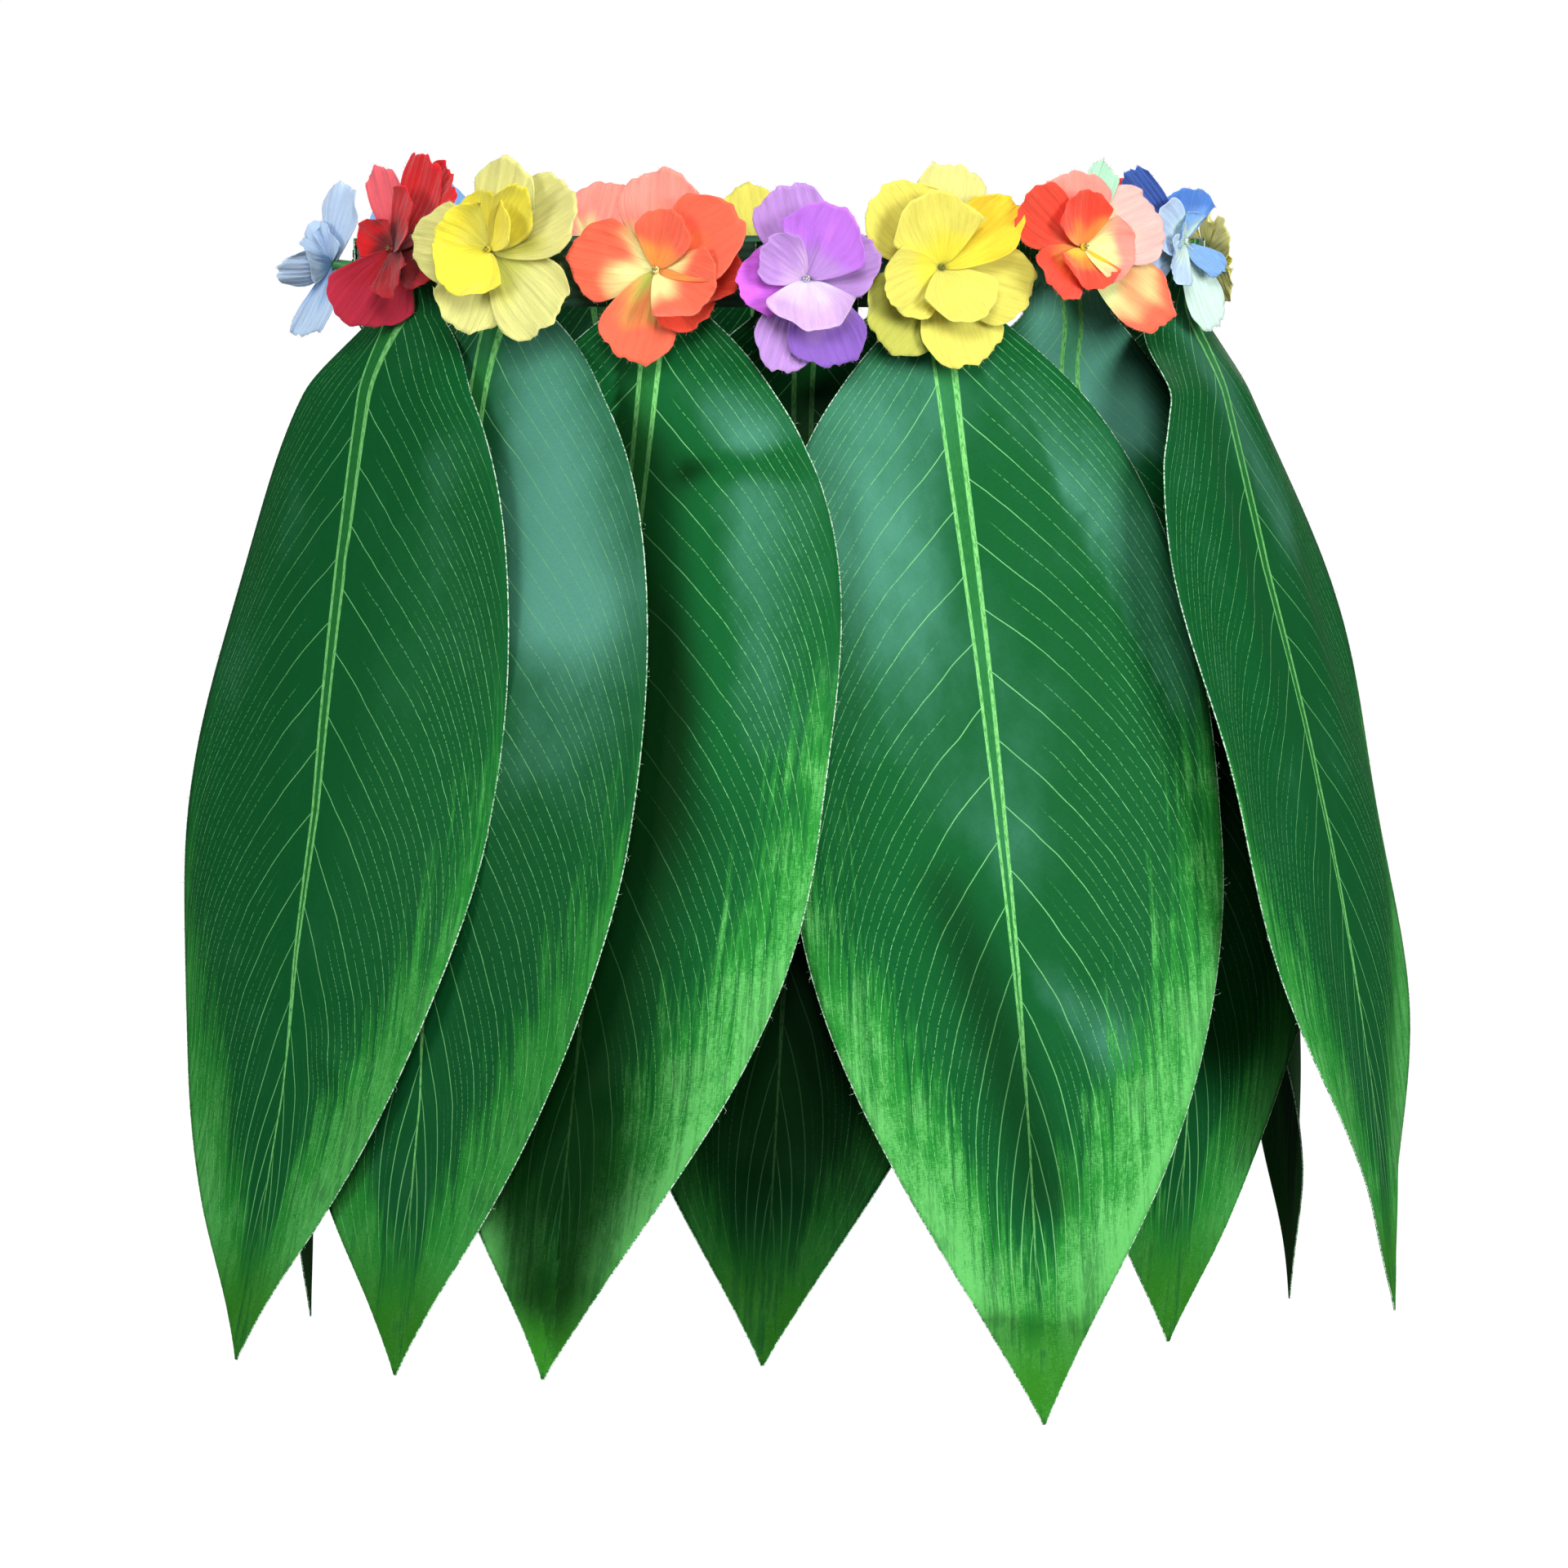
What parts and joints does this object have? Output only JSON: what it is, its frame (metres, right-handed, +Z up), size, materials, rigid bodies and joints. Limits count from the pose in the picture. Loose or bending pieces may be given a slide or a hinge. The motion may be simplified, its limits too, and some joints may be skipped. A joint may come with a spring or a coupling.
{
  "type": "ti leaf hula skirt",
  "caption": "Hula skirt of overlapping printed cloth ti leaves that hang from an elastic waistband, with a double cloth flower over the top of each leaf.",
  "frame": {"origin": "the middle of the waistband's ring, where the skirt is held on the wearer's waist", "axes": "+Z up along the wearer's body, -Y the way the wearer faces, +X towards the wearer's left"},
  "size_m": [0.5493, 0.3991, 0.5352],
  "materials": {
    "elastic": "ribbed woven elastic",
    "leaf_satin": "printed satin",
    "petal_red": "pleated matt cloth",
    "petal_yellow": "pleated matt cloth",
    "petal_coral": "pleated matt cloth",
    "petal_violet": "pleated matt cloth",
    "petal_blue": "pleated matt cloth",
    "petal_pale_blue": "pleated matt cloth"
  },
  "bodies": {
    "root": {"waistband": "elastic", "leaf_01": "leaf_satin", "leaf_02": "leaf_satin", "leaf_03": "leaf_satin", "leaf_04": "leaf_satin", "leaf_05": "leaf_satin", "leaf_06": "leaf_satin", "leaf_07": "leaf_satin", "leaf_08": "leaf_satin", "leaf_09": "leaf_satin", "leaf_10": "leaf_satin", "leaf_11": "leaf_satin", "leaf_12": "leaf_satin", "leaf_13": "leaf_satin", "leaf_14": "leaf_satin", "flower_01": "petal_red", "flower_02": "petal_yellow", "flower_03": "petal_coral", "flower_04": "petal_violet", "flower_05": "petal_yellow", "flower_06": "petal_coral", "flower_07": "petal_blue", "flower_08": "petal_yellow", "flower_09": "petal_red", "flower_10": "petal_violet", "flower_11": "petal_yellow", "flower_12": "petal_coral", "flower_13": "petal_blue", "flower_14": "petal_pale_blue"}
  },
  "joints": []
}
